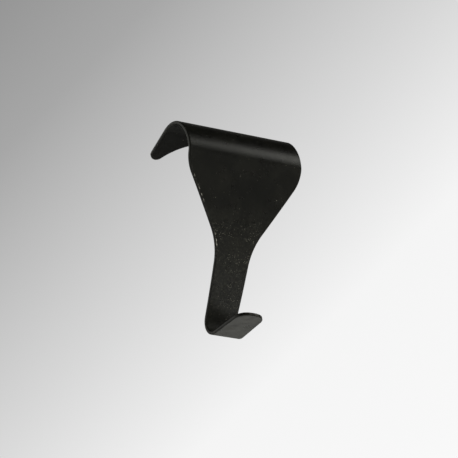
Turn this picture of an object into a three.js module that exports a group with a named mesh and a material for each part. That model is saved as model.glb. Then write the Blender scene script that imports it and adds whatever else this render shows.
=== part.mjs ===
// Picture-rail hook: one strip of sheet steel, sheared to shape and bent.
//
// The strip hangs over a picture rail by the roofed crown at its top. A broad plate
// comes down the front of the rail and narrows to a neck, and the end of the neck
// turns up into the seat that takes the picture's cord or wire.
//
// Frame, in millimetres: X runs across the hook, the plate's front faces -Y, the rail
// and the wall are on the +Y side, and +Z is up. The origin is in the middle of the
// crown's underside, on the highest line of the inside of the bend, which is the line
// that rests on the rail.
import * as THREE from 'three';
import { mergeVertices } from 'three/addons/utils/BufferGeometryUtils.js';

// ---- Sheet ----
const SHEET = 1.1; // thickness of the painted strip
const EDGE_BREAK = 0.18; // chamfer where the tumbled edges were broken

// ---- Side view, in order along the strip, with inside radii and angles in degrees ----
const LIP_LENGTH = 11.2; // flat back lip, from its ears to the crown
const LIP_FALL = 46; // how steeply the lip falls towards the wall
const CROWN_RADIUS = 7.5; // bend along the top
const ROOF_FALL = 18.5; // how steeply the roof falls where it leaves the crown
const ROOF_LENGTH = 10.5;
const ROOF_TURN = 48; // how much more it falls at its front, gently rounded over
const SHOULDER_RADIUS = 3.2; // bend from the roof down into the plate
const PLATE_LEAN = 1.2; // the plate leans out a little towards its foot
const PLATE_RUN = 6.3; // flat stretch under the shoulder
const BOW_LENGTH = 39.4; // plate and neck, slowly bowed back towards the wall
const NECK_LEAN = 7.8; // how far the neck leans back at its foot
const NECK_RUN = 2.7; // flat stretch above the seat
const SEAT_RADIUS = 3.5; // bend that the cord lies in
const SEAT_RISE = 26.5; // how steeply the seat's leg rises towards the front
const SEAT_LENGTH = 14; // flat leg of the seat, to its tip

// ---- Outline of the flat strip ----
const PLATE_WIDTH = 40;
const EAR_RADIUS = 2.1; // rounded ears of the lip
const SCALLOP_DEPTH = 10.2; // hollow between the ears
const PLATE_LENGTH = 32.1; // from the ears to where the plate starts to narrow
const CHEEK_RADIUS = 12.6; // outward curve of the plate's sides
const FLANK_ANGLE = 31.6; // how far the straight flanks turn in
const WAIST_RADIUS = 21; // inward curve into the neck
const NECK_WIDTH = 11.8; // at the end of the waist
const NECK_TAPER = 1.9; // each side of the neck, down to the seat's tip
const TIP_LENGTH = 4; // rounded end of the seat
const TIP_SQUARENESS = 2.4; // 2 is half an ellipse, larger is squarer

// ---- Fineness of the faces ----
const COLUMNS = 20; // across the strip
const BEND_STEP = 9; // degrees between rows in a bend
const ROW_STEP = 2.2; // longest distance between rows
const END_ROWS = 5; // rows in the lip and in the tip
const EAR_ROOM = 1; // shortest distance from the scallop to the first row past it
const TIP_ROOM = 2.5; // stretch above the rounded tip that its rows spread into

const { degToRad, radToDeg, lerp } = THREE.MathUtils;

// ---- Side view ----

// A stretch of the strip turns evenly along its length. A positive turn bends it
// towards its wall side, a negative one towards its front.
const stretch = (length, degrees = 0) => ({ length, turn: degToRad(degrees) });

function bend(insideRadius, degrees) {
  const length = (insideRadius + SHEET / 2) * degToRad(Math.abs(degrees));
  return stretch(length, degrees);
}

const side = [
  stretch(LIP_LENGTH),
  bend(CROWN_RADIUS, LIP_FALL + ROOF_FALL),
  stretch(ROOF_LENGTH, ROOF_TURN),
  bend(SHOULDER_RADIUS, 90 - ROOF_FALL - ROOF_TURN - PLATE_LEAN),
  stretch(PLATE_RUN),
  stretch(BOW_LENGTH, PLATE_LEAN + NECK_LEAN),
  stretch(NECK_RUN),
  bend(SEAT_RADIUS, -(90 + NECK_LEAN + SEAT_RISE)),
  stretch(SEAT_LENGTH),
];
const stripLength = side.reduce((sum, piece) => sum + piece.length, 0);

// Middle of the sheet after a further stretch: a bend moves it along its chord.
function advance(frame, length, turn) {
  const chord = turn === 0 ? length : (length * Math.sin(turn / 2)) / (turn / 2);
  const direction = frame.heading + turn / 2;
  return {
    y: frame.y + chord * Math.cos(direction),
    z: frame.z + chord * Math.sin(direction),
    heading: frame.heading + turn,
  };
}

function frameAt(distance) {
  let frame = { y: 0, z: 0, heading: degToRad(180 - LIP_FALL) };
  let left = distance;
  for (const piece of side) {
    const length = Math.min(left, piece.length);
    frame = advance(frame, length, (piece.turn * length) / piece.length);
    left -= length;
  }
  return frame;
}

// A point at a height above the middle of the sheet, on its outer side if positive.
function sidePoint(distance, height) {
  const frame = frameAt(distance);
  return {
    y: frame.y + height * Math.sin(frame.heading),
    z: frame.z - height * Math.cos(frame.heading),
  };
}

// The crown is level where the strip has turned by the lip's fall, and the rail bears
// on the inside of that line.
const crownLine = LIP_LENGTH + bend(CROWN_RADIUS, LIP_FALL).length;
const origin = sidePoint(crownLine, -SHEET / 2);

// ---- Outline of the flat strip ----

// The outline's curves are arcs and lines, so drawing it in by an inset keeps the
// centres and angles and only makes the radii smaller or larger.
const flank = degToRad(FLANK_ANGLE);
const taper = degToRad(NECK_TAPER);
const cheek = { at: PLATE_LENGTH, x: PLATE_WIDTH / 2 - CHEEK_RADIUS };
const waistX = NECK_WIDTH / 2 + WAIST_RADIUS * Math.cos(taper);
const flankStart = cheek.x + CHEEK_RADIUS * Math.cos(flank);
const flankEnd = waistX - WAIST_RADIUS * Math.cos(flank);
const flankRun = (flankStart - flankEnd) / Math.tan(flank);
const arcsRun = (CHEEK_RADIUS + WAIST_RADIUS) * Math.sin(flank);
const waist = { at: cheek.at + arcsRun + flankRun, x: waistX };

const arcHeight = (radius, run) => Math.sqrt(Math.max(radius * radius - run * run, 0));

function halfWidth(distance, inset) {
  const cheekRadius = CHEEK_RADIUS - inset;
  const waistRadius = WAIST_RADIUS + inset;
  const cheekEnd = cheek.at + cheekRadius * Math.sin(flank);
  const waistStart = waist.at - waistRadius * Math.sin(flank);
  const waistEnd = waist.at - waistRadius * Math.sin(taper);
  if (distance <= cheek.at) return PLATE_WIDTH / 2 - inset;
  if (distance <= cheekEnd) return cheek.x + arcHeight(cheekRadius, distance - cheek.at);
  if (distance <= waistStart) {
    const cheekX = cheek.x + cheekRadius * Math.cos(flank);
    return cheekX - (distance - cheekEnd) * Math.tan(flank);
  }
  if (distance <= waistEnd) return waist.x - arcHeight(waistRadius, distance - waist.at);
  const neckX = waist.x - waistRadius * Math.cos(taper);
  return neckX - (distance - waistEnd) * Math.tan(taper);
}

// Two rounded ears with one arc hollowed out between them, meeting smoothly.
const earX = PLATE_WIDTH / 2 - EAR_RADIUS;
const scallopRadius = (earX ** 2 + SCALLOP_DEPTH ** 2) / (2 * SCALLOP_DEPTH) - EAR_RADIUS;
const scallopCentre = SCALLOP_DEPTH - scallopRadius;
const earMeetsScallop = (earX * scallopRadius) / (scallopRadius + EAR_RADIUS);

function lipEdge(x, inset) {
  const earRadius = EAR_RADIUS - inset;
  const across = Math.abs(x);
  if (across > earMeetsScallop) return EAR_RADIUS - arcHeight(earRadius, across - earX);
  return scallopCentre + arcHeight(scallopRadius + inset, across);
}

const tipStart = stripLength - TIP_LENGTH;

function tipEdge(column, inset) {
  const bulge = (1 - Math.abs(column) ** TIP_SQUARENESS) ** (1 / TIP_SQUARENESS);
  return tipStart + (TIP_LENGTH - inset) * bulge;
}

// ---- Rows across the strip, between the lip and the tip ----

const earsEnd = Math.max(LIP_LENGTH, SCALLOP_DEPTH + EAR_ROOM);
const rows = [];
let pieceStart = 0;
for (const piece of side) {
  const bendSteps = radToDeg(Math.abs(piece.turn)) / BEND_STEP;
  const steps = Math.ceil(Math.max(bendSteps, piece.length / ROW_STEP));
  for (let step = 0; step < steps; step += 1) {
    const distance = pieceStart + (piece.length * step) / steps;
    if (distance >= earsEnd && distance < tipStart - TIP_ROOM) rows.push(distance);
  }
  pieceStart += piece.length;
}
const lastMiddleRow = rows.length - 1;
const lastRow = lastMiddleRow + 2 * END_ROWS;

// Place on the flat strip of a row and a column, which runs from -1 to 1 across it.
function stripPoint(row, column, inset) {
  const middleRow = row - END_ROWS;
  if (middleRow < 0) {
    const x = column * (PLATE_WIDTH / 2 - inset);
    const distance = lerp(lipEdge(x, inset), rows[0], row / END_ROWS);
    return { distance, x };
  }
  if (middleRow <= lastMiddleRow) {
    const distance = rows[middleRow];
    return { distance, x: column * halfWidth(distance, inset) };
  }
  const share = (middleRow - lastMiddleRow) / END_ROWS;
  const distance = lerp(rows[lastMiddleRow], tipEdge(column, inset), share);
  return { distance, x: column * halfWidth(Math.min(distance, tipStart), inset) };
}

// ---- The strip as a closed body ----

// A box whose top is the lip's end and whose front is the strip's outer side. It has
// three layers of faces through its thickness: the cut edge and a chamfer on each side.
function hookStrip() {
  const layers = 3;
  const geometry = new THREE.BoxGeometry(2, lastRow, layers, COLUMNS, lastRow, layers);
  geometry.deleteAttribute('normal');
  geometry.deleteAttribute('uv');
  const position = geometry.getAttribute('position');
  for (let index = 0; index < position.count; index += 1) {
    const column = Math.sin((position.getX(index) * Math.PI) / 2); // closer at the sides
    const row = Math.round(lastRow / 2 - position.getY(index));
    const layer = position.getZ(index);
    const isFace = Math.abs(layer) > 1;
    const inset = isFace ? EDGE_BREAK : 0;
    const height = Math.sign(layer) * (SHEET / 2 - (isFace ? 0 : EDGE_BREAK));
    const place = stripPoint(row, column, inset);
    const { y, z } = sidePoint(place.distance, height);
    position.setXYZ(index, place.x, y - origin.y, z - origin.z);
  }
  const closed = mergeVertices(geometry, 1e-5);
  closed.computeVertexNormals();
  return closed;
}

const blackPaint = new THREE.MeshStandardMaterial({
  color: 0x1c1c1a,
  roughness: 0.36,
  metalness: 0,
});

const strip = new THREE.Mesh(hookStrip(), blackPaint);
strip.name = 'hook_strip';

const hook = new THREE.Group();
hook.add(strip);

export default hook;
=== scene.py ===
# Picture-rail hook: one strip of sheet steel, sheared, bent in a press brake, painted black.
import math

import bmesh
import bpy
from mathutils import Matrix, Vector


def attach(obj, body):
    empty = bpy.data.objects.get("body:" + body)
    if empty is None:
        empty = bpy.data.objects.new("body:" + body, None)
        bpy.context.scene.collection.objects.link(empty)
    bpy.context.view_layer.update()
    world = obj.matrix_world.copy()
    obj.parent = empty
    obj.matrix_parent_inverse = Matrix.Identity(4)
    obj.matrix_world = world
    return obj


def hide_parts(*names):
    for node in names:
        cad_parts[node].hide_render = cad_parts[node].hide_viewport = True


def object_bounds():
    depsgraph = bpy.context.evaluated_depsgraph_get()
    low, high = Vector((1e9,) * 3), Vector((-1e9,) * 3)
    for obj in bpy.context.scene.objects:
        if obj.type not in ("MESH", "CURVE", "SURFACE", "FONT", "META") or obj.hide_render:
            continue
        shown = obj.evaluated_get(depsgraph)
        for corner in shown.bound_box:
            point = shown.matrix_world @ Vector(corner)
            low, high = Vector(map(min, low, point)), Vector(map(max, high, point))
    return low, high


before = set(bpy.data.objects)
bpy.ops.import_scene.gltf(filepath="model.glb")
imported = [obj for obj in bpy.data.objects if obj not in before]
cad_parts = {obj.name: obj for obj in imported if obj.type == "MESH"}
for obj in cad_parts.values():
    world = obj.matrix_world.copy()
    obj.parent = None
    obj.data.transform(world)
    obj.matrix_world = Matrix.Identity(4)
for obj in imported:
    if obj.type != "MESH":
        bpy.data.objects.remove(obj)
CAD_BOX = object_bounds()

MM = 0.001

# ---- Sheet and its bends, as the CAD part has them ----
SHEET = 1.1 * MM
LIP_LENGTH = 11.2 * MM
LIP_FALL = math.radians(46)
CROWN_RADIUS = 7.5 * MM
ROOF_FALL = math.radians(18.5)
ROOF_LENGTH = 10.5 * MM
ROOF_TURN = math.radians(48)
SHOULDER_RADIUS = 3.2 * MM
PLATE_LEAN = math.radians(1.2)
PLATE_RUN = 6.3 * MM
BOW_LENGTH = 39.4 * MM
NECK_LEAN = math.radians(7.8)
NECK_RUN = 2.7 * MM
SEAT_RADIUS = 3.5 * MM
SEAT_RISE = math.radians(26.5)
SEAT_LENGTH = 14 * MM

# ---- Outline of the flat blank ----
PLATE_WIDTH = 40 * MM
EAR_RADIUS = 2.1 * MM
SCALLOP_DEPTH = 10.2 * MM
PLATE_LENGTH = 32.1 * MM
CHEEK_RADIUS = 12.6 * MM
FLANK_ANGLE = math.radians(31.6)
WAIST_RADIUS = 21 * MM
NECK_WIDTH = 11.8 * MM
NECK_TAPER = math.radians(1.9)
TIP_LENGTH = 4 * MM
TIP_SQUARENESS = 2.4

# ---- Sheared edge: a rolled-over front corner, a straight cut and a small burr side ----
FRONT_ROUND = 0.28 * MM
BACK_ROUND = 0.24 * MM
ROUND_STEPS = 4

# ---- Fineness ----
COLUMNS = 96
SIDE_CROWDING = 0.75  # 0 spaces the columns evenly, 1 draws them most to the sides
ROW_STEP = 0.45 * MM
END_ROWS = 28
TIP_ROOM = 2.5 * MM
EAR_ROOM = 1.0 * MM

MARKED = 0.5  # a face whose mark is above this takes that mark's paint


# ======================================================================
# The strip's side: straights and bends, in order from the lip to the tip
# ======================================================================

def bend_length(inside_radius, angle):
    return (inside_radius + SHEET / 2) * angle


CROWN_BEND = LIP_FALL + ROOF_FALL
SHOULDER_BEND = math.pi / 2 - ROOF_FALL - ROOF_TURN - PLATE_LEAN
SEAT_BEND = math.pi / 2 + NECK_LEAN + SEAT_RISE

# name, length, turn (positive bends the strip towards the wall)
SIDE = [
    ("lip", LIP_LENGTH, 0.0),
    ("crown", bend_length(CROWN_RADIUS, CROWN_BEND), CROWN_BEND),
    ("roof", ROOF_LENGTH, ROOF_TURN),
    ("shoulder", bend_length(SHOULDER_RADIUS, SHOULDER_BEND), SHOULDER_BEND),
    ("plate", PLATE_RUN, 0.0),
    ("bow", BOW_LENGTH, PLATE_LEAN + NECK_LEAN),
    ("neck", NECK_RUN, 0.0),
    ("seat", bend_length(SEAT_RADIUS, SEAT_BEND), -SEAT_BEND),
    ("leg", SEAT_LENGTH, 0.0),
]
STRIP_LENGTH = sum(length for _, length, _ in SIDE)


def start_of(name):
    """Distance along the strip, from the lip's ears, at which a stretch begins."""
    distance = 0.0
    for piece, length, _ in SIDE:
        if piece == name:
            return distance
        distance += length
    raise KeyError(name)


# ======================================================================
# Outline of the blank
# ======================================================================

CHEEK_X = PLATE_WIDTH / 2 - CHEEK_RADIUS
WAIST_X = NECK_WIDTH / 2 + WAIST_RADIUS * math.cos(NECK_TAPER)
FLANK_START_X = CHEEK_X + CHEEK_RADIUS * math.cos(FLANK_ANGLE)
FLANK_END_X = WAIST_X - WAIST_RADIUS * math.cos(FLANK_ANGLE)
FLANK_RUN = (FLANK_START_X - FLANK_END_X) / math.tan(FLANK_ANGLE)
ARCS_RUN = (CHEEK_RADIUS + WAIST_RADIUS) * math.sin(FLANK_ANGLE)
WAIST_AT = PLATE_LENGTH + ARCS_RUN + FLANK_RUN
TIP_START = STRIP_LENGTH - TIP_LENGTH

EAR_X = PLATE_WIDTH / 2 - EAR_RADIUS
SCALLOP_RADIUS = (EAR_X**2 + SCALLOP_DEPTH**2) / (2 * SCALLOP_DEPTH) - EAR_RADIUS
SCALLOP_CENTRE = SCALLOP_DEPTH - SCALLOP_RADIUS
EAR_MEETS_SCALLOP = EAR_X * SCALLOP_RADIUS / (SCALLOP_RADIUS + EAR_RADIUS)
EARS_END = max(LIP_LENGTH, SCALLOP_DEPTH + EAR_ROOM)


def arc_height(radius, run):
    """Height of an arc above its centre, at this distance to the side of it."""
    return math.sqrt(max(radius * radius - run * run, 0.0))


def half_width(distance, inset):
    """Half the blank's width at a distance along it, drawn in by an inset."""
    cheek = CHEEK_RADIUS - inset
    waist = WAIST_RADIUS + inset
    cheek_end = PLATE_LENGTH + cheek * math.sin(FLANK_ANGLE)
    waist_start = WAIST_AT - waist * math.sin(FLANK_ANGLE)
    waist_end = WAIST_AT - waist * math.sin(NECK_TAPER)
    if distance <= PLATE_LENGTH:
        return PLATE_WIDTH / 2 - inset
    if distance <= cheek_end:
        return CHEEK_X + arc_height(cheek, distance - PLATE_LENGTH)
    if distance <= waist_start:
        cheek_end_x = CHEEK_X + cheek * math.cos(FLANK_ANGLE)
        return cheek_end_x - (distance - cheek_end) * math.tan(FLANK_ANGLE)
    if distance <= waist_end:
        return WAIST_X - arc_height(waist, distance - WAIST_AT)
    waist_end_x = WAIST_X - waist * math.cos(NECK_TAPER)
    return waist_end_x - (distance - waist_end) * math.tan(NECK_TAPER)


def lip_edge(x, inset):
    """Distance at which the lip ends: two round ears with one arc hollowed out between them."""
    across = abs(x)
    if across > EAR_MEETS_SCALLOP:
        return EAR_RADIUS - arc_height(EAR_RADIUS - inset, across - EAR_X)
    return SCALLOP_CENTRE + arc_height(SCALLOP_RADIUS + inset, across)


def tip_edge(column, inset):
    """Distance at which the tip ends, for a column that runs from -1 to 1 across it."""
    bulge = (1 - abs(column) ** TIP_SQUARENESS) ** (1 / TIP_SQUARENESS)
    return TIP_START + (TIP_LENGTH - inset) * bulge


# ======================================================================
# Where the finish changes along the strip
# ======================================================================

SEAT_RUN_IN = 4 * MM  # over which the paint turns matt before the hollow of the seat
HANDLED = (WAIST_AT - 15 * MM, start_of("seat") - 1 * MM)  # waist and neck, greyed by handling
HANDLED_BLUR = 5 * MM
LEG_FACE = (start_of("leg") + 2 * MM, STRIP_LENGTH + 9 * MM)  # smeared, out past the tip
LEG_BLUR = 2.5 * MM
ARRIS_GLINT_STRETCH = (PLATE_LENGTH + 7 * MM, WAIST_AT - 4 * MM)  # painted highlight: light broken line down the left arris of the flank
ARRIS_GLINT_STRETCH_BLUR = 3 * MM


def in_the_seat(distance):
    """0 to 1: how far into the hollow of the seat's bend a place along the strip is."""
    rising = (distance - start_of("seat") + SEAT_RUN_IN) / SEAT_RUN_IN
    falling = (start_of("leg") + SEAT_RUN_IN / 2 - distance) / SEAT_RUN_IN
    share = min(max(min(rising, falling), 0.0), 1.0)
    return share * share * (3 - 2 * share)


# ======================================================================
# The flat blank, with its sheared edge
# ======================================================================

def blend_between(low, high, share):
    return low + (high - low) * share


def column_places():
    """Places across the strip from -1 to 1, closer together at the sides."""
    places = []
    for i in range(COLUMNS + 1):
        even = 2 * i / COLUMNS - 1
        places.append(blend_between(even, math.sin(even * math.pi / 2), SIDE_CROWDING))
    return places


def middle_rows():
    """Distances of the rows between the lip and the rounded tip, with one at each bend's start."""
    rows = []
    start = 0.0
    for _, length, _ in SIDE:
        steps = math.ceil(length / ROW_STEP)
        for step in range(steps):
            distance = start + length * step / steps
            if EARS_END <= distance < TIP_START - TIP_ROOM:
                rows.append(distance)
        start += length
    return rows


def edge_profile():
    """Sheared edge from the front face to the back face, as pairs of inset and height."""
    profile = []
    for step in range(ROUND_STEPS + 1):
        angle = step / ROUND_STEPS * math.pi / 2
        inset = FRONT_ROUND * (1 - math.sin(angle))
        profile.append((inset, -SHEET / 2 + FRONT_ROUND * (1 - math.cos(angle))))
    for step in range(ROUND_STEPS + 1):
        angle = step / ROUND_STEPS * math.pi / 2
        inset = BACK_ROUND * (1 - math.cos(angle))
        profile.append((inset, SHEET / 2 - BACK_ROUND * (1 - math.sin(angle))))
    return profile


class Blank:
    """Flat strip: X across it, Y along it from the lip's ears, Z towards its wall side."""

    def __init__(self):
        self.columns = column_places()
        self.rows = middle_rows()
        self.last_row = len(self.rows) - 1 + 2 * END_ROWS
        self.profile = edge_profile()

    def place(self, i, j, inset):
        """X and distance of a column and row, drawn in from the outline by an inset."""
        column = self.columns[i]
        middle = j - END_ROWS
        last_middle = len(self.rows) - 1
        if middle < 0:
            x = column * (PLATE_WIDTH / 2 - inset)
            return x, blend_between(lip_edge(x, inset), self.rows[0], j / END_ROWS)
        if middle <= last_middle:
            distance = self.rows[middle]
            return column * half_width(distance, inset), distance
        share = (middle - last_middle) / END_ROWS
        distance = blend_between(self.rows[last_middle], tip_edge(column, inset), share)
        return column * half_width(min(distance, TIP_START), inset), distance

    def outline(self):
        """Grid places once round the blank's edge."""
        last_column, last_row = COLUMNS, self.last_row
        loop = [(i, 0) for i in range(last_column)]
        loop += [(last_column, j) for j in range(last_row)]
        loop += [(i, last_row) for i in range(last_column, 0, -1)]
        loop += [(0, j) for j in range(last_row, 0, -1)]
        return loop

    def to_edge(self, x, distance):
        """How far a place lies inside the blank's outline."""
        side = half_width(distance, 0) - abs(x)
        lip = distance - lip_edge(min(abs(x), PLATE_WIDTH / 2), 0)
        column = min(abs(x) / half_width(min(distance, TIP_START), 0), 1.0)
        tip = tip_edge(column, 0) - distance
        return max(min(side, lip, tip), 0.0)

    def mesh(self):
        """Closed body: the front and back grids, joined round the outline by the edge profile."""
        shape = bmesh.new()
        to_edge = shape.verts.layers.float.new("to_edge")
        around = shape.verts.layers.float.new("around")
        along = shape.verts.layers.float.new("along")
        hollow = shape.verts.layers.float.new("hollow")
        cut = shape.faces.layers.float.new("cut_edge")
        inside = shape.faces.layers.float.new("inside")
        found = {}
        last_layer = len(self.profile) - 1

        def corner(i, j, layer):
            if (i, j, layer) not in found:
                inset, height = self.profile[layer]
                x, distance = self.place(i, j, inset)
                vert = shape.verts.new((x, distance, height))
                vert[to_edge] = self.to_edge(x, distance)
                vert[along] = distance
                vert[hollow] = in_the_seat(distance) if layer == 0 else 0.0
                found[(i, j, layer)] = vert
            return found[(i, j, layer)]

        for i in range(COLUMNS):
            for j in range(self.last_row):
                ring = [(i, j), (i, j + 1), (i + 1, j + 1), (i + 1, j)]
                shape.faces.new([corner(*at, 0) for at in ring])
                back = shape.faces.new([corner(*at, last_layer) for at in reversed(ring)])
                # Back faces as far as the shoulder take the shaded inside paint: painted shade
                # inside the crown.
                if max(vert[along] for vert in back.verts) <= start_of("shoulder"):
                    back[inside] = 1.0

        loop = self.outline()
        travelled = 0.0
        for here, after in zip(loop, loop[1:] + loop[:1]):
            for layer in range(last_layer):
                ring = [corner(*here, layer), corner(*after, layer)]
                ring += [corner(*after, layer + 1), corner(*here, layer + 1)]
                for vert in (ring[0], ring[3]):
                    vert[around] = travelled
                face = shape.faces.new(ring)
                face[cut] = 1.0
            travelled += (corner(*after, ROUND_STEPS).co - corner(*here, ROUND_STEPS).co).length
        bmesh.ops.recalc_face_normals(shape, faces=shape.faces)
        for face in shape.faces:
            face.smooth = True
        mesh = bpy.data.meshes.new("hook_strip_blank")
        shape.to_mesh(mesh)
        shape.free()
        return mesh


# ======================================================================
# Press brake: Geometry Nodes that bend the blank along its length
# ======================================================================

def add_input(tree, name, kind="NodeSocketFloat", value=None):
    socket = tree.interface.new_socket(name=name, in_out="INPUT", socket_type=kind)
    if value is not None:
        socket.default_value = value
    return socket


def add_output(tree, name, kind="NodeSocketFloat"):
    return tree.interface.new_socket(name=name, in_out="OUTPUT", socket_type=kind)


def node_of(tree, kind, **settings):
    node = tree.nodes.new(kind)
    for name, value in settings.items():
        setattr(node, name, value)
    return node


def join(tree, source, socket):
    """Links an output socket to an input, or types a plain value into it."""
    if isinstance(source, bpy.types.NodeSocket):
        tree.links.new(source, socket)
    else:
        socket.default_value = source


def feed(tree, node, *sources):
    """Sets a node's inputs in order."""
    for socket, source in zip(node.inputs, sources):
        join(tree, source, socket)
    return node.outputs[0]


def math_of(tree, operation, *sources):
    node = node_of(tree, "ShaderNodeMath", operation=operation)
    return feed(tree, node, *sources)


def brake_bend_group():
    """One bend. What lies past its start turns with it; what lies before it stays flat."""
    tree = bpy.data.node_groups.new("brake_bend", "GeometryNodeTree")
    add_input(tree, "Position", "NodeSocketVector")
    add_input(tree, "Along")
    add_input(tree, "Start")
    add_input(tree, "Length")
    add_input(tree, "Turn")
    add_output(tree, "Position", "NodeSocketVector")
    given = node_of(tree, "NodeGroupInput").outputs

    past = math_of(tree, "SUBTRACT", given["Along"], given["Start"])
    bent = math_of(tree, "MINIMUM", math_of(tree, "MAXIMUM", past, 0.0), given["Length"])
    share = math_of(tree, "DIVIDE", bent, given["Length"])
    angle = math_of(tree, "MULTIPLY", given["Turn"], share)
    radius = math_of(tree, "DIVIDE", given["Length"], given["Turn"])

    forward = math_of(tree, "MULTIPLY", radius, math_of(tree, "SINE", angle))
    sideways = math_of(tree, "SUBTRACT", 1.0, math_of(tree, "COSINE", angle))
    arc = node_of(tree, "ShaderNodeCombineXYZ")
    feed(
        tree, arc, 0.0,
        math_of(tree, "ADD", given["Start"], forward),
        math_of(tree, "MULTIPLY", radius, sideways),
    )

    used = node_of(tree, "ShaderNodeCombineXYZ")
    feed(tree, used, 0.0, math_of(tree, "ADD", given["Start"], bent), 0.0)
    left = node_of(tree, "ShaderNodeVectorMath", operation="SUBTRACT")
    feed(tree, left, given["Position"], used.outputs[0])
    turned = node_of(tree, "ShaderNodeVectorRotate", rotation_type="X_AXIS")
    tree.links.new(left.outputs[0], turned.inputs["Vector"])
    tree.links.new(angle, turned.inputs["Angle"])

    total = node_of(tree, "ShaderNodeVectorMath", operation="ADD")
    feed(tree, total, arc.outputs[0], turned.outputs[0])
    result = node_of(tree, "NodeGroupOutput")
    tree.links.new(total.outputs[0], result.inputs["Position"])
    return tree


# From the tip back to the lip, so that each bend still finds its own start flat.
BENDS = ["seat", "bow", "shoulder", "roof", "crown"]


def press_brake_tree():
    """The whole tool: the five bends, then the finished strip laid over the rail's top."""
    tree = bpy.data.node_groups.new("press_brake", "GeometryNodeTree")
    add_input(tree, "Blank", "NodeSocketGeometry")
    for name in BENDS:
        for size in ("start", "length", "turn"):
            add_input(tree, f"{name} {size}")
    add_input(tree, "lip heading")
    add_input(tree, "rail line along")
    add_input(tree, "rail line height")
    add_input(tree, "paint", "NodeSocketMaterial")
    add_input(tree, "edge paint", "NodeSocketMaterial")
    add_input(tree, "shaded inside paint", "NodeSocketMaterial")
    add_output(tree, "Strip", "NodeSocketGeometry")
    given = node_of(tree, "NodeGroupInput").outputs

    along = node_of(tree, "GeometryNodeInputNamedAttribute", data_type="FLOAT")
    along.inputs["Name"].default_value = "along"
    place = node_of(tree, "GeometryNodeInputPosition").outputs[0]
    bend_group = brake_bend_group()
    for name in BENDS:
        step = node_of(tree, "GeometryNodeGroup", node_tree=bend_group, label=name)
        sizes = [given[f"{name} {size}"] for size in ("start", "length", "turn")]
        place = feed(tree, step, place, along.outputs["Attribute"], *sizes)

    rail_line = node_of(tree, "ShaderNodeCombineXYZ")
    feed(tree, rail_line, 0.0, given["rail line along"], given["rail line height"])
    from_rail = node_of(tree, "ShaderNodeVectorMath", operation="SUBTRACT")
    feed(tree, from_rail, place, rail_line.outputs[0])
    hung = node_of(tree, "ShaderNodeVectorRotate", rotation_type="X_AXIS")
    tree.links.new(from_rail.outputs[0], hung.inputs["Vector"])
    tree.links.new(given["lip heading"], hung.inputs["Angle"])

    moved = node_of(tree, "GeometryNodeSetPosition")
    tree.links.new(given["Blank"], moved.inputs["Geometry"])
    tree.links.new(hung.outputs[0], moved.inputs["Position"])
    whole = node_of(tree, "GeometryNodeRealizeInstances")
    tree.links.new(moved.outputs["Geometry"], whole.inputs["Geometry"])
    painted = node_of(tree, "GeometryNodeSetMaterial")
    tree.links.new(whole.outputs["Geometry"], painted.inputs["Geometry"])
    tree.links.new(given["paint"], painted.inputs["Material"])
    edged = painted
    for attribute, paint in (("inside", "shaded inside paint"), ("cut_edge", "edge paint")):
        marked = node_of(tree, "GeometryNodeInputNamedAttribute", data_type="FLOAT")
        marked.inputs["Name"].default_value = attribute
        chosen = node_of(tree, "FunctionNodeCompare", data_type="FLOAT", operation="GREATER_THAN")
        tree.links.new(marked.outputs["Attribute"], chosen.inputs["A"])
        chosen.inputs["B"].default_value = MARKED
        coat = node_of(tree, "GeometryNodeSetMaterial")
        tree.links.new(edged.outputs["Geometry"], coat.inputs["Geometry"])
        tree.links.new(chosen.outputs["Result"], coat.inputs["Selection"])
        tree.links.new(given[paint], coat.inputs["Material"])
        edged = coat
    result = node_of(tree, "NodeGroupOutput")
    tree.links.new(edged.outputs["Geometry"], result.inputs["Strip"])
    return tree


def press_brake_sizes():
    """Values of the press brake's named inputs, worked out from the hook's own sizes."""
    sizes = {}
    for name, length, turn in SIDE:
        if turn != 0:
            sizes[f"{name} start"] = start_of(name)
            sizes[f"{name} length"] = length
            sizes[f"{name} turn"] = turn
    middle_radius = CROWN_RADIUS + SHEET / 2
    sizes["lip heading"] = math.pi - LIP_FALL
    sizes["rail line along"] = LIP_LENGTH + CROWN_RADIUS * math.sin(LIP_FALL)
    sizes["rail line height"] = middle_radius - CROWN_RADIUS * math.cos(LIP_FALL)
    return sizes


def keep_inside(mesh, box):
    """Presses fine arcs back where they swell microns past the box of the CAD part's facets."""
    low, high = box
    for vert in mesh.vertices:
        vert.co = Vector(
            min(max(vert.co[axis], low[axis]), high[axis]) for axis in range(3)
        )


def hook_strip(paint, edge_paint, shaded_matt_paint):
    """Bends the blank into the hook, as one plain mesh in the CAD strip's place."""
    blank = bpy.data.objects.new("blank", Blank().mesh())
    bpy.context.scene.collection.objects.link(blank)
    modifier = blank.modifiers.new("press_brake", "NODES")
    modifier.node_group = press_brake_tree()
    values = press_brake_sizes()
    values.update({"paint": paint, "edge paint": edge_paint, "shaded inside paint": shaded_matt_paint})
    for item in modifier.node_group.interface.items_tree:
        if item.name in values:
            modifier[item.identifier] = values[item.name]
    bpy.context.view_layer.update()
    graph = bpy.context.evaluated_depsgraph_get()
    mesh = bpy.data.meshes.new_from_object(blank.evaluated_get(graph), depsgraph=graph)
    bpy.data.objects.remove(blank)
    mesh.name = "hook_strip_bent"
    keep_inside(mesh, CAD_BOX)
    strip = bpy.data.objects.new("bent_strip", mesh)
    bpy.context.scene.collection.objects.link(strip)
    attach(strip, "root")
    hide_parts("hook_strip")


# ======================================================================
# Effects shared by the paint on the faces, on the cut edge and inside the crown
# ======================================================================

def shader_group(name, inputs, outputs):
    """An empty shader group with named inputs and their usual values, and named outputs."""
    tree = bpy.data.node_groups.new(name, "ShaderNodeTree")
    for label, value in inputs:
        add_input(tree, label, value=value)
    for label in outputs:
        add_output(tree, label)
    given = node_of(tree, "NodeGroupInput").outputs
    result = node_of(tree, "NodeGroupOutput")
    return tree, given, result


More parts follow.
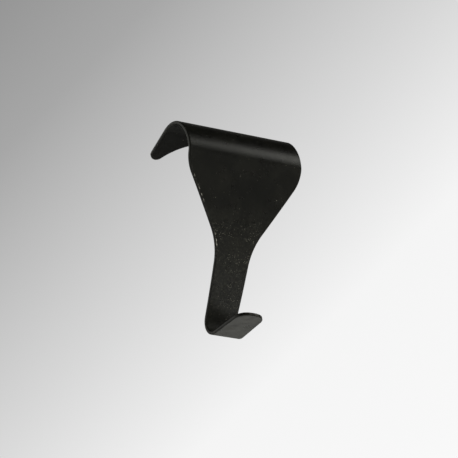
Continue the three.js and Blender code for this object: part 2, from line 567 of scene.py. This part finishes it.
def noise_in(tree, scale, detail=2.0, roughness=0.5):
    """Noise on the piece's own coordinates, with this many waves to the metre."""
    place = node_of(tree, "ShaderNodeTexCoord").outputs["Object"]
    noise = node_of(tree, "ShaderNodeTexNoise")
    tree.links.new(place, noise.inputs["Vector"])
    noise.inputs["Detail"].default_value = detail
    noise.inputs["Roughness"].default_value = roughness
    join(tree, scale, noise.inputs["Scale"])
    return noise.outputs["Fac"]


def soft_step(tree, value, low, high):
    """0 below low, 1 above high, and smooth between."""
    node = node_of(tree, "ShaderNodeMapRange", interpolation_type="SMOOTHSTEP")
    for label, source in (("Value", value), ("From Min", low), ("From Max", high)):
        join(tree, source, node.inputs[label])
    return node.outputs["Result"]


def opposite(tree, share):
    return math_of(tree, "SUBTRACT", 1.0, share)


def attribute_in(tree, name):
    node = node_of(tree, "ShaderNodeAttribute", attribute_type="GEOMETRY", attribute_name=name)
    return node.outputs["Fac"]


def orange_peel_group():
    """Height of sprayed paint: soft dimples, with a finer grain in them."""
    tree, given, result = shader_group(
        "orange_peel", [("Dimples", 900.0), ("Grain", 4200.0), ("Grain share", 0.3)], ["Height"]
    )
    dimples = noise_in(tree, given["Dimples"], detail=1.0)
    grain = noise_in(tree, given["Grain"], detail=2.0)
    fine = math_of(tree, "MULTIPLY", grain, given["Grain share"])
    tree.links.new(math_of(tree, "ADD", dimples, fine), result.inputs["Height"])
    return tree


def paint_specks_group():
    """Small lumps and dust caught in the paint, gathered in patches."""
    tree, given, result = shader_group(
        "paint_specks",
        [("Speck scale", 2600.0), ("Patch scale", 110.0), ("Amount", 0.5)],
        ["Mask", "Height"],
    )
    place = node_of(tree, "ShaderNodeTexCoord").outputs["Object"]
    cells = node_of(tree, "ShaderNodeTexVoronoi", feature="F1")
    tree.links.new(place, cells.inputs["Vector"])
    tree.links.new(given["Speck scale"], cells.inputs["Scale"])
    pick = node_of(tree, "ShaderNodeSeparateColor")
    tree.links.new(cells.outputs["Color"], pick.inputs["Color"])
    patches = noise_in(tree, given["Patch scale"], detail=2.0)
    patches = soft_step(tree, patches, low=0.38, high=0.68)
    share = math_of(tree, "MULTIPLY", patches, given["Amount"])
    kept = math_of(tree, "LESS_THAN", pick.outputs[0], share)
    dot = opposite(tree, soft_step(tree, cells.outputs["Distance"], low=0.12, high=0.42))
    mask = math_of(tree, "MULTIPLY", dot, kept)
    strong = math_of(tree, "MULTIPLY", mask, pick.outputs[1])
    tree.links.new(strong, result.inputs["Mask"])
    tree.links.new(mask, result.inputs["Height"])
    return tree


def edge_wear_and_glint_group():
    """1 close to the outline, broken up along it: where paint is rubbed thin, and where the left
    flank's painted highlight runs.
    """
    tree, given, result = shader_group(
        "edge_wear_and_glint",
        [("Width", 0.3 * MM), ("Break scale", 1500.0), ("Patch scale", 90.0), ("Amount", 0.5)],
        ["Mask"],
    )
    widths_in = math_of(tree, "DIVIDE", attribute_in(tree, "to_edge"), given["Width"])
    near = math_of(tree, "MAXIMUM", opposite(tree, widths_in), 0.0)
    broken = noise_in(tree, given["Break scale"], detail=3.0)
    broken = soft_step(tree, broken, low=0.48, high=0.62)
    patches = noise_in(tree, given["Patch scale"], detail=1.0)
    patches = soft_step(tree, patches, low=0.42, high=0.6)
    mask = math_of(tree, "MULTIPLY", near, math_of(tree, "MULTIPLY", broken, patches))
    tree.links.new(math_of(tree, "MULTIPLY", mask, given["Amount"]), result.inputs["Mask"])
    return tree


EFFECTS = {}


def effect(tree, name, **values):
    """Places a shared effect in a material, with that material's own values."""
    node = node_of(tree, "ShaderNodeGroup", node_tree=EFFECTS[name], label=name)
    for label, value in values.items():
        join(tree, value, node.inputs[label.replace("_", " ")])
    return node.outputs


def mix_colours(tree, share, first, second):
    """The first colour where the share is 0 and the second where it is 1."""
    node = node_of(tree, "ShaderNodeMix", data_type="RGBA")
    tree.links.new(share, node.inputs["Factor"])
    colour_inputs = [socket for socket in node.inputs if socket.type == "RGBA"]
    for socket, colour in zip(colour_inputs, (first, second)):
        join(tree, (*colour, 1.0) if isinstance(colour, tuple) else colour, socket)
    return next(socket for socket in node.outputs if socket.type == "RGBA")


def new_material(name):
    material = bpy.data.materials.new(name)
    material.use_nodes = True
    tree = material.node_tree
    return material, tree, tree.nodes["Principled BSDF"]


def bump(tree, height, depth, under=None):
    """Normal raised by a height of 0 to 1 times a depth, over the normal of what lies under it."""
    node = node_of(tree, "ShaderNodeBump")
    node.inputs["Distance"].default_value = depth
    node.inputs["Strength"].default_value = 1.0
    tree.links.new(height, node.inputs["Height"])
    if under is not None:
        tree.links.new(under, node.inputs["Normal"])
    return node.outputs["Normal"]


# ---- Colours of the paint, and of what shows through and on it ----
SHADED_BLACK = (0.0032, 0.0032, 0.0028)  # painted shade: a darker black for the coat inside the crown
BLACK = (0.0058, 0.0058, 0.0047)  # full coat
BLACK_THIN = (0.0115, 0.0113, 0.0088)  # coat where it is thinner
HAZE = (0.030, 0.0295, 0.0235)  # grey film where it is handled or smeared
RUBBED = (0.22, 0.21, 0.185)  # coat rubbed thin along the edges
ARRIS_GLINT = (0.85, 0.82, 0.74)  # painted highlight on the left arris, in the colour of bare steel
DUST = (0.30, 0.29, 0.24)  # specks

# ---- Noise in the colour and the roughness of the paints ----
CLOUD_LOW, CLOUD_HIGH = 0.35, 0.7  # between which the coat goes from one colour to the next
DULLING_SCALE = 420.0  # waves to the metre
DULLING = 0.16  # most that it adds to the roughness
SHEAR_LINES_SCALE = 2400.0  # lines to the metre round the cut edge
SHEAR_LINES_DULLING = 0.18


def stretch_mask(tree, ends, blur):
    """1 between two places along the strip, and 0 away from them."""
    first, last = ends
    along = attribute_in(tree, "along")
    start = soft_step(tree, along, first - blur, first + blur)
    stop = soft_step(tree, along, last - blur, last + blur)
    return math_of(tree, "MULTIPLY", start, opposite(tree, stop))


def clouded(tree, scale, thick, thin):
    """The coat's own colour, which drifts between two in clouds of this many to the metre."""
    clouds = noise_in(tree, scale, detail=3.0)
    return mix_colours(tree, soft_step(tree, clouds, CLOUD_LOW, CLOUD_HIGH), thick, thin)


def filmed(tree, colour, film, where):
    """Grey haze over a colour, in the pattern of a noise and only in one place."""
    return mix_colours(tree, math_of(tree, "MULTIPLY", film, where), colour, HAZE)


def dusted_and_worn(tree, colour, dust, width, wear):
    """Specks over a colour, then its rubbed edges. Also gives the height of the specks."""
    specks = effect(tree, "paint_specks", Amount=dust)
    colour = mix_colours(tree, specks["Mask"], colour, DUST)
    worn = effect(tree, "edge_wear_and_glint", Width=width, Amount=wear)
    return mix_colours(tree, worn["Mask"], colour, RUBBED), specks["Height"]


def dulled(tree, roughness):
    """A roughness that is raised a little, unevenly, over the whole surface."""
    more = math_of(tree, "MULTIPLY", noise_in(tree, DULLING_SCALE, detail=3.0), DULLING)
    return math_of(tree, "ADD", more, roughness)


def black_paint():
    """Satin black enamel over pressed steel."""
    material, tree, surface = new_material("black_paint")
    colour = clouded(tree, 130.0, BLACK, BLACK_THIN)

    handled = stretch_mask(tree, HANDLED, HANDLED_BLUR)
    grain = noise_in(tree, 1500.0, detail=4.0, roughness=0.7)
    grain = soft_step(tree, grain, low=0.46, high=0.68)
    colour = filmed(tree, colour, grain, handled)
    leg = stretch_mask(tree, LEG_FACE, LEG_BLUR)
    smears = noise_in(tree, 420.0, detail=4.0, roughness=0.65)
    smears = soft_step(tree, smears, low=0.4, high=0.66)
    colour = filmed(tree, colour, smears, leg)

    dust_handled, dust_elsewhere = 0.42, 0.05
    dust = math_of(tree, "MULTIPLY", handled, dust_handled)
    dust = math_of(tree, "ADD", dust, dust_elsewhere)
    colour, specks = dusted_and_worn(tree, colour, dust, width=0.34 * MM, wear=0.8)
    # Painted highlight down the left arris of the flank and waist.
    colour = mix_colours(tree, painted_arris_glint(tree), colour, ARRIS_GLINT)
    tree.links.new(colour, surface.inputs["Base Color"])

    matt_hollow = 0.34
    hollow = math_of(tree, "MULTIPLY", attribute_in(tree, "hollow"), matt_hollow)
    roughness = math_of(tree, "ADD", dulled(tree, 0.22), hollow)
    tree.links.new(roughness, surface.inputs["Roughness"])

    peel = effect(tree, "orange_peel")["Height"]
    normal = bump(tree, peel, depth=0.016 * MM)
    # The leg's unevenness is in the bump only, and is deeper than a coat of paint.
    uneven = math_of(tree, "MULTIPLY", noise_in(tree, 240.0, detail=1.0), leg)
    normal = bump(tree, uneven, depth=0.4 * MM, under=normal)
    normal = bump(tree, specks, depth=0.03 * MM, under=normal)
    tree.links.new(normal, surface.inputs["Normal"])
    return material


def painted_arris_glint(tree):
    """Painted highlight: a bright broken line along the left arris of the flank and waist, in a
    bare steel colour.
    """
    place = node_of(tree, "ShaderNodeSeparateXYZ")
    object_place = node_of(tree, "ShaderNodeTexCoord").outputs["Object"]
    tree.links.new(object_place, place.inputs["Vector"])
    left = math_of(tree, "LESS_THAN", place.outputs["X"], 0.0)
    where = math_of(tree, "MULTIPLY", left, stretch_mask(tree, ARRIS_GLINT_STRETCH, ARRIS_GLINT_STRETCH_BLUR))
    glint_mask = effect(
        tree, "edge_wear_and_glint", Width=0.6 * MM, Break_scale=1100.0, Patch_scale=200.0, Amount=2.4
    )
    share = math_of(tree, "MULTIPLY", glint_mask["Mask"], where)
    return math_of(tree, "MINIMUM", share, 1.0)


def shaded_inside_paint():
    """Matt enamel inside the crown, with painted shade: a darker colour and a weaker reflection
    there.
    """
    material, tree, surface = new_material("black_paint_inside_shaded")
    colour = clouded(tree, 160.0, SHADED_BLACK, BLACK)
    colour, _ = dusted_and_worn(tree, colour, dust=0.08, width=0.3 * MM, wear=0.5)
    tree.links.new(colour, surface.inputs["Base Color"])
    tree.links.new(dulled(tree, 0.42), surface.inputs["Roughness"])
    # Weaker reflection inside the crown, as painted shade.
    surface.inputs["Specular IOR Level"].default_value = 0.16
    peel = effect(tree, "orange_peel", Dimples=1500.0, Grain_share=0.7)["Height"]
    tree.links.new(bump(tree, peel, depth=0.008 * MM), surface.inputs["Normal"])
    return material


def cut_edge_paint():
    """The same enamel over the sheared edge, where the shear's own lines run through the sheet."""
    material, tree, surface = new_material("black_paint_cut_edge")
    colour = clouded(tree, 300.0, BLACK, BLACK_THIN)
    colour, _ = dusted_and_worn(tree, colour, dust=0.06, width=0.6 * MM, wear=0.25)
    tree.links.new(colour, surface.inputs["Base Color"])

    noise = node_of(tree, "ShaderNodeTexNoise", noise_dimensions="1D")
    noise.inputs["Scale"].default_value = SHEAR_LINES_SCALE
    noise.inputs["Detail"].default_value = 2.0
    tree.links.new(attribute_in(tree, "around"), noise.inputs["W"])
    lines = noise.outputs["Fac"]
    roughness = math_of(tree, "MULTIPLY", lines, SHEAR_LINES_DULLING)
    tree.links.new(math_of(tree, "ADD", roughness, 0.26), surface.inputs["Roughness"])

    peel = effect(tree, "orange_peel", Dimples=1300.0)["Height"]
    normal = bump(tree, lines, depth=0.02 * MM)
    normal = bump(tree, peel, depth=0.02 * MM, under=normal)
    tree.links.new(normal, surface.inputs["Normal"])
    return material


# ======================================================================
# Studio: floor, surroundings, lights and camera
# ======================================================================

CAMERA_AZIMUTH = math.radians(31.11)
CAMERA_ELEVATION = math.radians(-4.44)
CAMERA_ROLL = math.radians(7.425)
CAMERA_DISTANCE = 904.96 * MM
CAMERA_LENS = 233.45
CAMERA_SENSOR = 36
CAMERA_NEAR, CAMERA_FAR = 50 * MM, 50
CAMERA_SIDEWAYS = -0.767 * MM
CAMERA_LIFT = -29.64 * MM
CAMERA_AIM = Vector((0, 0, SHEET))

WARM_WHITE = (1.0, 1.0, 0.93)
FLOOR_HALF = 6.0
FLOOR_DROP = 0.17
FLOOR_LIT = 0.78  # grey under the lamps
FLOOR_SEEN = 0.62  # grey to the camera

# ---- Backdrop's greys, as it fades up across the main view ----
BACKDROP_DARKEST, BACKDROP_PALEST = 0.28, 0.95
BACKDROP_BETWEEN = ((0.2, 0.385), (0.5, 0.70), (0.69, 0.91))  # place in the fade, grey
BACKDROP_REACH = 0.12  # how far the fade goes to each side of the view's middle
ROOM_SEEN = (0.80, 0.80, 0.80)  # round the backdrop

# ---- Glows that the hook mirrors ----
WALL_WAY = (-0.3, 0.95, 0)  # roughly behind the hook
WALL_ABOVE = 0.18  # the wall's glow higher up, beside 1 low down
WALL_GLOW = 0.5
FRONT_WAY = (0.5, -0.86, 0.0)
FRONT_GLOW = 0.16
ROOM_GLOW = 0.006

# name, place, aim, side of the square, power, whether the hook mirrors it
LAMPS = [
    ("key", (0.39, -0.14, 0.41), (0, 0, 0), 0.22, 0.33, True),
    ("floor_light", (0.11, 0.02, 0.0), (0.06, 0.0, -FLOOR_DROP), 0.06, 0.17, False),
    ("fill", (-0.5, -0.6, 0.3), (0, 0, -0.03), 0.4, 2.0, False),
    ("front_floor", (0.5, -0.8, 0.4), (0.45, -0.75, -FLOOR_DROP), 0.6, 4.2, False),
]


def grey(level):
    return (level, level, level, 1)


def camera_axes():
    """Right, up and back of the camera, as it leans."""
    az, el = CAMERA_AZIMUTH, CAMERA_ELEVATION
    right = Vector((math.cos(az), -math.sin(az), 0))
    back = Vector((-math.sin(az) * math.cos(el), -math.cos(az) * math.cos(el), math.sin(el)))
    up = back.cross(right)
    lean = Matrix.Rotation(CAMERA_ROLL, 3, back)
    return lean @ right, lean @ up, back


def camera():
    right, up, back = camera_axes()
    data = bpy.data.cameras.new("camera")
    data.lens = CAMERA_LENS
    data.sensor_width = CAMERA_SENSOR
    data.clip_start = CAMERA_NEAR
    data.clip_end = CAMERA_FAR
    eye = bpy.data.objects.new("camera", data)
    bpy.context.scene.collection.objects.link(eye)
    turn = Matrix((right, up, back)).transposed().to_4x4()
    place = right * CAMERA_SIDEWAYS + up * CAMERA_LIFT + back * CAMERA_DISTANCE
    eye.matrix_world = Matrix.Translation(CAMERA_AIM + place) @ turn
    bpy.context.scene.camera = eye


def two_faced(tree, mirrored, seen):
    """One shader for the camera to see, and another for light and for what mirrors it."""
    rays = node_of(tree, "ShaderNodeLightPath")
    mixed = node_of(tree, "ShaderNodeMixShader")
    feed(tree, mixed, rays.outputs["Is Camera Ray"], mirrored.outputs[0], seen.outputs[0])
    return mixed.outputs[0]


def floor():
    """Pale and even to look at. Where the hook mirrors it, lit only by the lamps' pools."""
    mesh = bpy.data.meshes.new("floor")
    sides = ((-1, -1), (1, -1), (1, 1), (-1, 1))
    corners = [(x * FLOOR_HALF, y * FLOOR_HALF, -FLOOR_DROP) for x, y in sides]
    mesh.from_pydata(corners, [], [(0, 1, 2, 3)])
    sheet = bpy.data.objects.new("floor", mesh)
    bpy.context.scene.collection.objects.link(sheet)
    material, tree, surface = new_material("pale_floor")
    surface.inputs["Base Color"].default_value = grey(FLOOR_LIT)
    surface.inputs["Roughness"].default_value = 0.8
    pale = node_of(tree, "ShaderNodeEmission")
    pale.inputs["Color"].default_value = grey(FLOOR_SEEN)
    both = two_faced(tree, surface, pale)
    tree.links.new(both, tree.nodes["Material Output"].inputs["Surface"])
    mesh.materials.append(material)


def soft_light(name, place, aim, side, power, mirrored):
    """A flat square soft box, in a place, that faces what it is aimed at."""
    data = bpy.data.lights.new(name, "AREA")
    data.shape = "RECTANGLE"
    data.size = side
    data.size_y = side
    data.energy = power
    data.color = WARM_WHITE
    lamp = bpy.data.objects.new(name, data)
    bpy.context.scene.collection.objects.link(lamp)
    turn = (Vector(place) - Vector(aim)).to_track_quat("Z", "Y").to_matrix().to_4x4()
    lamp.matrix_world = Matrix.Translation(Vector(place)) @ turn
    lamp.visible_glossy = mirrored
    lamp.visible_camera = False


def surroundings():
    """The backdrop and room that the camera sees, and the dim glows that the hook mirrors."""
    world = bpy.data.worlds.new("room")
    world.use_nodes = True
    bpy.context.scene.world = world
    tree = world.node_tree
    tree.nodes.clear()
    eye = node_of(tree, "ShaderNodeBackground")
    tree.links.new(backdrop(tree), eye.inputs["Color"])
    room = node_of(tree, "ShaderNodeBackground")
    room.inputs["Color"].default_value = (*WARM_WHITE, 1)
    tree.links.new(glows(tree), room.inputs["Strength"])
    output = node_of(tree, "ShaderNodeOutputWorld")
    tree.links.new(two_faced(tree, room, eye), output.inputs["Surface"])


def facing(tree, direction):
    """1 where the room is looked at along a direction, 0 square to it and -1 the other way."""
    way = node_of(tree, "ShaderNodeTexCoord").outputs["Generated"]
    node = node_of(tree, "ShaderNodeVectorMath", operation="DOT_PRODUCT")
    feed(tree, node, way, direction)
    return node.outputs["Value"]


def backdrop(tree):
    """A grey that fades up from one corner to the other round the main view's direction."""
    right, up, back = camera_axes()
    share = node_of(tree, "ShaderNodeMapRange")
    tree.links.new(facing(tree, (right - up).normalized()), share.inputs["Value"])
    share.inputs["From Min"].default_value = -BACKDROP_REACH
    share.inputs["From Max"].default_value = BACKDROP_REACH
    fade = node_of(tree, "ShaderNodeValToRGB")
    tree.links.new(share.outputs["Result"], fade.inputs["Fac"])
    greys = fade.color_ramp
    greys.elements[0].color = grey(BACKDROP_DARKEST)
    greys.elements[-1].color = grey(BACKDROP_PALEST)
    for place, level in BACKDROP_BETWEEN:
        greys.elements.new(place).color = grey(level)
    near = soft_step(tree, facing(tree, -back), low=0.96, high=0.985)
    return mix_colours(tree, near, ROOM_SEEN, fade.outputs["Color"])


def glows(tree):
    """Strength of the room where it is mirrored: a wall, bright low down, and a patch in front."""
    height = facing(tree, (0, 0, 1))
    behind = soft_step(tree, facing(tree, WALL_WAY), low=0.0, high=0.35)
    below = opposite(tree, soft_step(tree, height, low=0.12, high=0.34))
    above = opposite(tree, soft_step(tree, height, low=0.45, high=0.65))
    both = math_of(tree, "ADD", below, math_of(tree, "MULTIPLY", above, WALL_ABOVE))
    wall = math_of(tree, "MULTIPLY", behind, both)
    front = facing(tree, Vector(FRONT_WAY).normalized())
    front = soft_step(tree, front, low=0.7, high=0.99)
    glow = math_of(tree, "ADD", math_of(tree, "MULTIPLY", wall, WALL_GLOW), ROOM_GLOW)
    return math_of(tree, "ADD", math_of(tree, "MULTIPLY", front, FRONT_GLOW), glow)


def studio():
    bpy.context.scene.view_settings.view_transform = "Standard"
    floor()
    surroundings()
    camera()
    for lamp in LAMPS:
        soft_light(*lamp)


# ======================================================================
# Everything
# ======================================================================


def main():
    EFFECTS["orange_peel"] = orange_peel_group()
    EFFECTS["paint_specks"] = paint_specks_group()
    EFFECTS["edge_wear_and_glint"] = edge_wear_and_glint_group()
    hook_strip(black_paint(), cut_edge_paint(), shaded_inside_paint())
    studio()


main()
